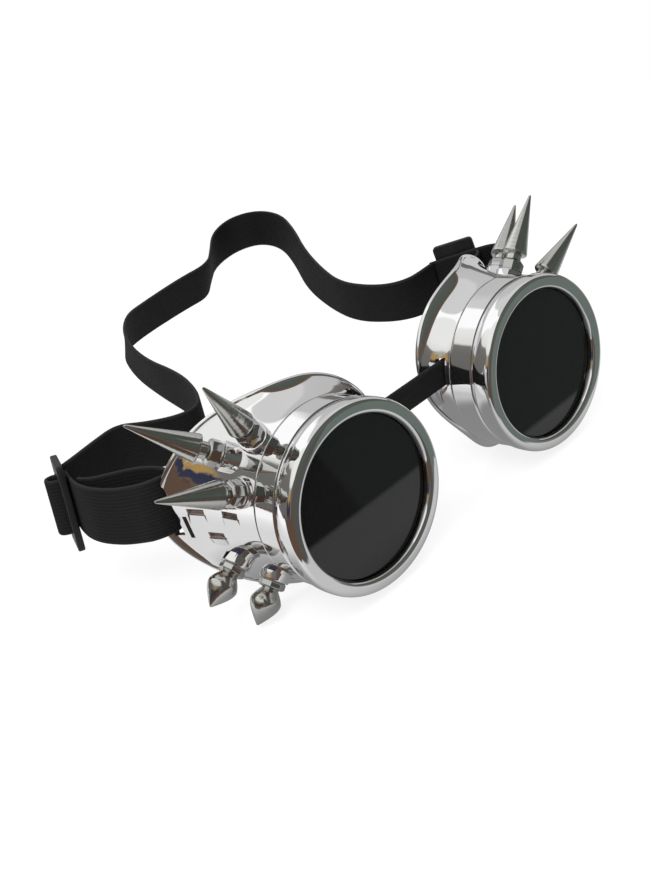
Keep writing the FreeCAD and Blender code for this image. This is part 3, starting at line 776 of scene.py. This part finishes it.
# Collars: eight-sided nuts under the spikes, chromed and chamfered at both ends, one on each seat.
# They are the same nut throughout, lower under the short spikes, so nodes set one on every seat.
collar_sizes = {"Across corners": 0.0043, "Chamfer": 0.0007, "Body height": 0.0030, "Top chamfer": 0.0009}
collar_foot = 0.88
collar_top = 0.78
short_collar = 2.6 / 4.6
collar_edge = 0.0002


def collar_tree():
    # Nodes that build one nut by raising an eight-sided disc in three steps, and set it on every seat
    tree = bpy.data.node_groups.new("collars", "GeometryNodeTree")

    def raised(mesh, height, **selection):
        links = [("Mesh", mesh), ("Offset Scale", height), ("Individual", False), *selection.items()]
        node = add_node(tree, "GeometryNodeExtrudeMesh", links, mode="FACES")
        return node.outputs["Mesh"], node.outputs["Top"]

    def scaled(mesh, top, scale):
        links = [("Geometry", mesh), ("Selection", top), ("Scale", scale)]
        return add_node(tree, "GeometryNodeScaleElements", links).outputs["Geometry"]

    def on_seats(label, kind):
        node = add_node(tree, "GeometryNodeInputNamedAttribute", [("Name", label)], data_type=kind)
        return node.outputs["Attribute"]

    tree.interface.new_socket("Seats", in_out="INPUT", socket_type="NodeSocketGeometry")
    for label, value in collar_sizes.items():
        socket = tree.interface.new_socket(label, in_out="INPUT", socket_type="NodeSocketFloat")
        socket.default_value = value
    tree.interface.new_socket("Finish", in_out="INPUT", socket_type="NodeSocketMaterial")
    tree.interface.new_socket("Collars", in_out="OUTPUT", socket_type="NodeSocketGeometry")
    given = tree.nodes.new("NodeGroupInput").outputs
    taken = tree.nodes.new("NodeGroupOutput").inputs
    foot = maths(tree, "MULTIPLY", given["Across corners"], collar_foot)
    disc = add_node(tree, "GeometryNodeMeshCircle", [("Vertices", 8), ("Radius", foot)], fill_type="NGON")
    nut, top = raised(disc.outputs["Mesh"], given["Chamfer"])
    nut, top = raised(scaled(nut, top, 1.0 / collar_foot), given["Body height"], Selection=top)
    nut, top = raised(nut, given["Top chamfer"], Selection=top)
    nut = scaled(nut, top, collar_top)
    way = on_seats("way", "FLOAT_VECTOR")
    turn = add_node(tree, "FunctionNodeAlignRotationToVector", [("Vector", way)], axis="Z")
    size = add_node(tree, "ShaderNodeCombineXYZ", [("X", 1.0), ("Y", 1.0), ("Z", on_seats("tall", "FLOAT"))])
    sat = add_node(tree, "GeometryNodeInstanceOnPoints", [
        ("Points", given["Seats"]), ("Instance", nut), ("Rotation", turn.outputs["Rotation"]),
        ("Scale", size.outputs["Vector"])])
    real = add_node(tree, "GeometryNodeRealizeInstances", [("Geometry", sat.outputs["Instances"])])
    coat = add_node(tree, "GeometryNodeSetMaterial", [
        ("Geometry", real.outputs["Geometry"]), ("Material", given["Finish"])])
    tree.links.new(coat.outputs["Geometry"], taken["Collars"])
    return tree


collars = collar_tree()
collar_chrome = mirror_chrome("collar_chrome", (0.52, 0.52, 0.51), 0.10)
for name, side in sides.items():
    seats = bpy.data.meshes.new(name + "_seat_points")
    axes = [spike_axis(side, angle, depth, lean) for angle, depth, lean, short in spikes[name]]
    seats.from_pydata([seat for seat, way in axes], [], [])
    ways = seats.attributes.new("way", "FLOAT_VECTOR", "POINT")
    for mark, (seat, way) in zip(ways.data, axes):
        mark.vector = way
    heights = seats.attributes.new("tall", "FLOAT", "POINT")
    for mark, (angle, depth, lean, short) in zip(heights.data, spikes[name]):
        mark.value = short_collar if short else 1.0
    item = in_scene(name + "_collars", seats)
    nodes = item.modifiers.new("collars", "NODES")
    nodes.node_group = collars
    for socket in collars.interface.items_tree:
        if socket.in_out == "INPUT" and socket.name == "Finish":
            nodes[socket.identifier] = collar_chrome
    built = bmesh.new()
    built.from_mesh(applied(item))
    bmesh.ops.remove_doubles(built, verts=built.verts, dist=1e-6)
    bmesh.ops.recalc_face_normals(built, faces=built.faces)
    mesh = finish_edges(name + "_collars", built, collar_edge, 2, 12.0)
    place(name + "_collar_nuts", mesh, collar_chrome, "chromed_spike", name + "_spike_collars",
          body=name + "_cup")

# Spike screws and nose stops: plain steel. The screws are slotted and are seen inside the cups, and the stops
# are short pins that hold the ends of the nose strap. Their solids are right as they are.


def plain_steel():
    # Satin steel with fine brushing
    material, tree, shader = new_material("plain_steel", Metallic=1.0)
    brush = noise(tree, in_object(tree, Scale=(300.0, 4200.0, 300.0)), 1.0, 3.0)
    graded(tree, shader, brush, (0.36, 0.36, 0.36), (0.58, 0.58, 0.57), (0.25, 0.42))
    return material


def refinish(material, *nodes):
    # Gives a new finish to solids that stay as they are
    for node in nodes:
        frame["nodes"][node].data.materials.clear()
        frame["nodes"][node].data.materials.append(material)


refinish(plain_steel(), "left_spike_screws", "right_spike_screws", "left_nose_stop", "right_nose_stop")

# Lens gaskets: flat rings of black rubber, pressed between the lens and the cup's neck by the lens ring.
# Their solids are right as they are.


def soft_rubber():
    # Matt black rubber with a faint bloom
    material, tree, shader = new_material("soft_rubber", Roughness=0.75)
    bloom = noise(tree, in_object(tree), 420.0, 4.0)
    graded(tree, shader, bloom, (0.010, 0.010, 0.010), (0.024, 0.024, 0.024))
    return material


refinish(soft_rubber(), "left_lens_gasket", "right_lens_gasket")

# Lenses: flat discs of near-black glass, 54 mm across and 2.2 mm thick, polished, with ground edges.
# A shallow step brings the face of each nearly level with the edge of the ring's opening.
lens_radius = 0.027
lens_face = 0.0003
lens_front = 0.00155
lens_back = 0.00375
lens_chamfer = 0.0004
step_radius = 0.02485
step_chamfer = 0.0002
inner_radius = 0.012
lens_outline = (
    (0.0, lens_face), (inner_radius, lens_face), (step_radius - step_chamfer, lens_face),
    (step_radius, lens_face + step_chamfer), (step_radius, lens_front),
    (lens_radius - lens_chamfer, lens_front), (lens_radius, lens_front + lens_chamfer),
    (lens_radius, lens_back - lens_chamfer), (lens_radius - lens_chamfer, lens_back),
    (inner_radius, lens_back), (0.0, lens_back),
)


def black_glass():
    # Deep smoked glass that shows only what its surface mirrors, with the faintest dust in the gloss
    material, tree, shader = new_material("black_glass", IOR=1.5, Specular_IOR_Level=0.62)
    dust = noise(tree, in_object(tree), 320.0, 6.0)
    graded(tree, shader, dust, (0.0016, 0.0016, 0.0017), (0.0032, 0.0033, 0.0034), (0.0, 0.03))
    return material


glass = black_glass()
for name, side in sides.items():
    built = bmesh.new()
    turned(built, on_cup(side, 0.0, 0.0, 0.0), y_way, lens_outline, 128)
    mesh = round_mesh(name + "_lens", built, 30)
    place(name + "_lens_disc", mesh, glass, "dark_glass", name + "_dark_lens", body=name + "_lens")

# Lens rings: chromed rings with a round lip in front and a plain band behind, parted by a fine groove.
# Each screws on the cup's neck and holds the lens and its gasket there.
lip_radius = 0.0298
opening_radius = 0.025
lip_front = 0.0024
lip_flat = 0.7
lip_seat = 0.0015
band_radius = 0.0292
groove_radius = 0.0286
ring_back = 0.0152
ring_bore = 0.02725
ring_outline = []
for i in range(65):
    turn = math.pi * i / 64
    across = math.copysign(abs(math.cos(turn)) ** lip_flat, math.cos(turn))
    lip = (opening_radius + lip_radius) / 2 - (lip_radius - opening_radius) / 2 * across
    ring_outline.append((lip, -lip_front * math.sin(turn) ** lip_flat))
ring_outline += [
    (lip_radius, 0.0008), (lip_radius, 0.0016), (0.02976, 0.0024), (0.02962, 0.0034), (0.0294, 0.0042),
    (0.0291, 0.0050), (groove_radius, 0.0052), (groove_radius, 0.0059), (0.02905, 0.0061),
    (band_radius, 0.0063), (band_radius, 0.0066), (band_radius, 0.0142), (band_radius, 0.0145),
    (0.02905, 0.0149), (0.0287, ring_back), (ring_bore, ring_back), (ring_bore, 0.0084),
    (ring_bore, lip_seat), (opening_radius, lip_seat), ring_outline[0],
]
ring_chrome = mirror_chrome("ring_chrome", (0.85, 0.85, 0.86), 0.03)
for name, side in sides.items():
    built = bmesh.new()
    turned(built, on_cup(side, 0.0, 0.0, 0.0), y_way, ring_outline, 256)
    bmesh.ops.remove_doubles(built, verts=built.verts, dist=1e-6)
    mesh = round_mesh(name + "_ring", built, 30)
    place(name + "_ring_turned", mesh, ring_chrome, "chromed_ring", name + "_lens_ring", body=name + "_ring")

# Nose strap: a flat black band, 9 mm wide, through a slot in the nose side of each cup.
# A stop pin at each end, inside the cup, keeps it from pulling out.
nose_half = 0.0224
nose_width = 0.009
nose_thick = 0.0016
nose_steps = 40


def band_rubber():
    # Smooth black band with a faint lengthwise grain
    material, tree, shader = new_material("band_rubber", Specular_IOR_Level=0.2)
    grain = noise(tree, in_object(tree, Scale=(120.0, 900.0, 1400.0)), 1.0, 4.0)
    graded(tree, shader, grain, (0.005, 0.005, 0.0055), (0.011, 0.011, 0.0115), (0.5, 0.65))
    set_bump(tree, shader, grain, 0.25, 0.00012)
    return material


nose_line = []
for i in range(nose_steps + 1):
    x = nose_half * (2 * i / nose_steps - 1)
    nose_line.append(Vector((x, lens_plane + nose_depth, axis_height + nose_height)))
nose_mesh = band_mesh("nose_strap", nose_line, [upward] * len(nose_line), nose_width, nose_thick, 8)
place("nose_strap_band", nose_mesh, band_rubber(), "black_band", "nose_strap", body="left_cup")

# Stage: a white sheet on a table, which the lenses and the chrome mirror with the darker table beyond it.
# The camera sees it as plain white, with the soft shadow of the goggles.
scene = bpy.context.scene
scene.view_settings.view_transform = "Standard"
floor_half = 3.0


def distance(tree, vector):
    # Distance from the middle of a mapping
    return add_node(tree, "ShaderNodeVectorMath", [(0, vector)], operation="LENGTH").outputs["Value"]


def by_ray(tree, soft, shown, mirrored, output):
    # One shader for soft light, another for the camera, and a third for what chrome and glass show
    path = add_node(tree, "ShaderNodeLightPath").outputs
    bright = maths(tree, "MAXIMUM", path["Is Glossy Ray"], path["Is Transmission Ray"])
    seen = add_node(tree, "ShaderNodeMixShader", [(0, path["Is Camera Ray"]), (1, soft), (2, shown)])
    both = add_node(tree, "ShaderNodeMixShader", [(0, bright), (1, seen.outputs[0]), (2, mirrored)])
    add_node(tree, output, [("Surface", both.outputs[0])])


def white_sheet():
    # Plain matt sheet to the camera and the lamps, and to chrome and glass a glowing sheet with painted light
    # and shade on a darker table
    material = bpy.data.materials.new("white_sheet")
    material.use_nodes = True
    tree = material.node_tree
    tree.nodes.clear()
    x, y, _ = add_node(tree, "ShaderNodeSeparateXYZ", [("Vector", in_object(tree))]).outputs
    # Front edge of the sheet, stepped back in front of the right lens, and its left edge, which is aslant
    step = ranged(tree, x, 0.028, 0.040, 0.0724, 0.0474)
    front = ranged(tree, maths(tree, "ADD", y, step), -0.0015, 0.0015)
    left = ranged(tree, maths(tree, "MULTIPLY_ADD", y, 0.75, x), -0.143, -0.138)
    near = maths(tree, "MULTIPLY", front, left)
    # Table beyond it, brown on the left and grey on the right, with a paler green field past a slanting line
    greyer = ranged(tree, x, -0.075, -0.045)
    table = mixed(tree, greyer, (0.125, 0.078, 0.056), (0.095, 0.095, 0.090))
    wedge = ranged(tree, maths(tree, "MULTIPLY_ADD", y, 0.479, x), -0.0495, -0.0465)
    room = mixed(tree, wedge, table, (0.155, 0.182, 0.163))
    # Painted shade and light on the sheet as chrome and glass see it: dim under the goggles, where their
    # shadow falls, and lighter away from them, most of all on the left
    lightest = maths(tree, "MULTIPLY", ranged(tree, x, -0.07, -0.10, 0.62, 0.80),
                     ranged(tree, x, -0.13, -0.26, 1.0, 1.4))
    under = distance(tree, in_object(tree, Scale=(10.5, 28.0, 0.0)))
    painted_sheet_shade = ranged(tree, under, 0.6, 1.5, 0.28, lightest, interpolation_type="SMOOTHSTEP")
    mirrored = mixed(tree, near, room, painted_sheet_shade)
    matte = add_node(tree, "ShaderNodeBsdfDiffuse", [("Color", (0.9, 0.9, 0.9, 1.0))]).outputs[0]
    white = add_node(tree, "ShaderNodeEmission", [("Color", (1.0, 1.0, 1.0, 1.0))]).outputs[0]
    away = distance(tree, in_object(tree, Location=(-0.03, -0.12, 0.0)))
    plain = ranged(tree, away, 0.20, 0.34, 0.84, 1.0, interpolation_type="SMOOTHSTEP")
    shown = add_node(tree, "ShaderNodeMixShader", [(0, plain), (1, matte), (2, white)]).outputs[0]
    glint = add_node(tree, "ShaderNodeEmission", [("Color", mirrored)]).outputs[0]
    by_ray(tree, matte, shown, glint, "ShaderNodeOutputMaterial")
    return material


floor_mesh = bpy.data.meshes.new("floor")
floor_corners = [(x * floor_half, y * floor_half, 0.0) for x, y in ((-1, -1), (1, -1), (1, 1), (-1, 1))]
floor_mesh.from_pydata(floor_corners, [], [(0, 1, 2, 3)])
floor_mesh.materials.append(white_sheet())
floor = in_scene("floor", floor_mesh)

# Room: what the chrome and the lenses mirror above the sheet, as colours by direction. The camera sees plain
# white there, and a soft even light falls on the goggles from it.


def tone_ramp(tree, value, stops):
    # Colours that follow a value, one after the other
    ramp = add_node(tree, "ShaderNodeValToRGB", [("Fac", value)])
    while len(ramp.color_ramp.elements) < len(stops):
        ramp.color_ramp.elements.new(0.5)
    for mark, (place_at, colour) in zip(ramp.color_ramp.elements, stops):
        mark.position = place_at
        mark.color = colour + (1.0,)
    return ramp.outputs["Color"]


def backdrop(tree, colour):
    # Light of a colour from all round
    return add_node(tree, "ShaderNodeBackground", [("Color", colour)]).outputs[0]


scene.world = bpy.data.worlds.new("studio")
scene.world.use_nodes = True
tree = scene.world.node_tree
tree.nodes.clear()
way = add_node(tree, "ShaderNodeTexCoord").outputs["Generated"]
x, _, z = add_node(tree, "ShaderNodeSeparateXYZ", [("Vector", way)]).outputs
# Walls, dark at their foot and grey above, with a white window high on the left. Further left, the upper half
# of the wall is pale.
right_wall = tone_ramp(tree, z, (
    (0.0, (0.15, 0.14, 0.13)), (0.13, (0.19, 0.18, 0.17)), (0.17, (0.56, 0.56, 0.56)),
    (0.62, (0.60, 0.60, 0.60)), (0.70, (0.72, 0.72, 0.72)),
))
left_wall = tone_ramp(tree, z, (
    (0.0, (0.15, 0.14, 0.13)), (0.40, (0.17, 0.165, 0.155)), (0.50, (0.20, 0.195, 0.18)),
    (0.525, (0.84, 0.83, 0.79)), (0.66, (0.95, 0.95, 0.93)),
))
beside = ranged(tree, maths(tree, "MULTIPLY_ADD", x, 0.793, z), 0.83, 0.80)
window = maths(tree, "MULTIPLY", beside, ranged(tree, z, 0.47, 0.51))
back_wall = mixed(tree, window, right_wall, (1.18, 1.18, 1.18))
walls = mixed(tree, ranged(tree, x, -0.26, -0.31), back_wall, left_wall)
# Far left, uneven fields of brown, navy, grey and gold
uneven = maths(tree, "MULTIPLY_ADD", noise(tree, way, 9.0, 3.0), 0.45, z)
side_wall = tone_ramp(tree, uneven, (
    (0.20, (0.10, 0.065, 0.05)), (0.27, (0.16, 0.11, 0.08)), (0.31, (0.045, 0.047, 0.075)),
    (0.52, (0.035, 0.037, 0.07)), (0.55, (0.16, 0.15, 0.14)), (0.59, (0.42, 0.27, 0.10)),
    (0.68, (0.46, 0.29, 0.10)), (0.71, (0.42, 0.43, 0.41)),
))
around = mixed(tree, ranged(tree, x, -0.82, -0.86), walls, side_wall)
# In front, a round dark field with a brown edge
links = [(0, way), (1, (0.302, -0.905, 0.302))]
toward = add_node(tree, "ShaderNodeVectorMath", links, operation="DOT_PRODUCT").outputs["Value"]
dark = tone_ramp(tree, toward, (
    (0.585, (0.16, 0.10, 0.075)), (0.65, (0.13, 0.085, 0.065)), (0.68, (0.085, 0.098, 0.085)),
    (1.0, (0.105, 0.118, 0.104)),
))
lit = mixed(tree, ranged(tree, toward, 0.565, 0.585), around, dark)
soft = backdrop(tree, (0.62, 0.62, 0.63, 1.0))
clear = backdrop(tree, (1.0, 1.0, 1.0, 1.0))
by_ray(tree, soft, clear, backdrop(tree, lit), "ShaderNodeOutputWorld")

# Lamps: two soft boxes above the goggles, one in front on their left and one behind on their right.
# The chrome doesn't mirror them.
lamp_aim = Vector((0, 0.05, 0.03))
lamps = (("key", (-0.45, -0.35, 0.75), 0.5, 9.0), ("fill", (0.5, 0.2, 0.8), 0.6, 5.0))
for label, spot, size, power in lamps:
    lamp = in_scene(label, bpy.data.lights.new(label, "AREA"))
    lamp.data.size = size
    lamp.data.energy = power
    lamp.location = spot
    lamp.rotation_euler = (lamp_aim - Vector(spot)).to_track_quat("-Z", "Y").to_euler()
    lamp.visible_glossy = False
